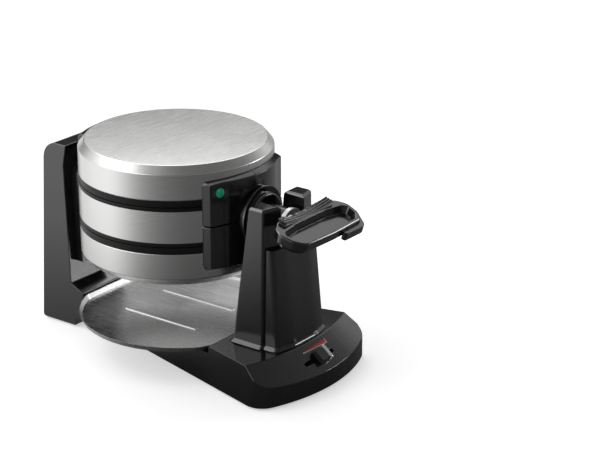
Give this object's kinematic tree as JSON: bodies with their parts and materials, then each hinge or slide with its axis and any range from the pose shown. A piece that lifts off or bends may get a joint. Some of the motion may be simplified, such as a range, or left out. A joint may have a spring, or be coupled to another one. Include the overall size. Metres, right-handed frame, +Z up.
{
  "type": "belgian waffle maker",
  "caption": "Flip-over double belgian waffle maker: a round steel head with hinged lids turns on a shaft between a rear stand and a forked post, over a drip tray.",
  "frame": {"origin": "middle of the whole part's length and width, on the table", "axes": "+X from the rear stand along the shaft to the handle, +Z up, -Y the side that the picture shows"},
  "size_m": [0.3906, 0.2336, 0.244],
  "materials": {
    "steel_cap": "brushed round the head",
    "tray_metal": "satin",
    "gloss_black": "glossy",
    "ring_black": "satin",
    "matte_black": "matte",
    "plate_coating": "cast, with a dark non-stick coating",
    "element_tube": "dull",
    "shield_metal": "bright sheet",
    "shaft_metal": "turned",
    "rubber_black": "matte",
    "bush_plastic": "natural",
    "scale_red": "printed",
    "lens_green": "clear, tinted",
    "board_green": "lacquered"
  },
  "bodies": {
    "base": {"base_shell": "gloss_black", "base_bottom_plate": "matte_black", "feet": "rubber_black", "base_screws": "shaft_metal", "rear_stand": "gloss_black", "rear_stand_cover": "matte_black", "rear_cover_screws": "shaft_metal", "rear_bearing_block": "gloss_black", "rear_bush": "bush_plastic", "cord_gland": "rubber_black", "front_post": "gloss_black", "front_post_cover": "gloss_black", "front_cradle": "matte_black", "browning_scale": "scale_red", "control_board": "board_green", "slide_control": "matte_black"},
    "browning_slider": {"browning_knob": "matte_black", "browning_knob_trim": "shaft_metal"},
    "tray": {"drip_tray": "tray_metal"},
    "core": {"core_band": "steel_cap", "core_upper_bezel": "ring_black", "core_lower_bezel": "ring_black", "core_upper_plate": "plate_coating", "core_lower_plate": "plate_coating", "core_upper_element": "element_tube", "core_lower_element": "element_tube", "core_hinge_bracket": "gloss_black", "rear_shaft": "shaft_metal", "front_hub": "gloss_black", "front_shaft": "shaft_metal", "upper_hinge_pin": "shaft_metal", "lower_hinge_pin": "shaft_metal", "handle_yoke": "shaft_metal", "fold_pin": "shaft_metal"},
    "upper_lid": {"upper_lid_cap": "steel_cap", "upper_lid_bezel": "ring_black", "upper_lid_plate": "plate_coating", "upper_lid_element": "element_tube", "upper_heat_shield": "shield_metal", "upper_front_housing": "gloss_black", "upper_ready_light": "lens_green", "upper_hinge_cover": "gloss_black"},
    "lower_lid": {"lower_lid_cap": "steel_cap", "lower_lid_bezel": "ring_black", "lower_lid_plate": "plate_coating", "lower_lid_element": "element_tube", "lower_heat_shield": "shield_metal", "lower_front_housing": "gloss_black", "lower_ready_light": "lens_green", "lower_hinge_cover": "gloss_black"},
    "handle": {"handle_grip": "gloss_black", "handle_under_shell": "gloss_black", "handle_thumb_tab": "gloss_black"}
  },
  "joints": [
    {"name": "head_flip", "type": "hinge", "parent": "base", "child": "core", "pos_m": [-0.02413, 0, 0.1765], "axis": [1, 0, 0], "range_deg": [0, 180]},
    {"name": "upper_lid_hinge", "type": "hinge", "parent": "core", "child": "upper_lid", "pos_m": [-0.13113, 0, 0.228], "axis": [0, 1, 0], "range_deg": [-95, 0]},
    {"name": "lower_lid_hinge", "type": "hinge", "parent": "core", "child": "lower_lid", "pos_m": [-0.13113, 0, 0.125], "axis": [0, 1, 0], "range_deg": [0, 13]},
    {"name": "handle_fold", "type": "hinge", "parent": "core", "child": "handle", "pos_m": [0.14187, 0, 0.1765], "axis": [0, 1, 0], "range_deg": [0, 70]},
    {"name": "browning_slide", "type": "slide", "parent": "base", "child": "browning_slider", "axis": [0, 1, 0], "range_m": [-0.0205, 0.0205]},
    {"name": "drip_tray_lift", "type": "slide", "parent": "base", "child": "tray", "axis": [0, 0, 1], "range_m": [0, 0.045]}
  ]
}
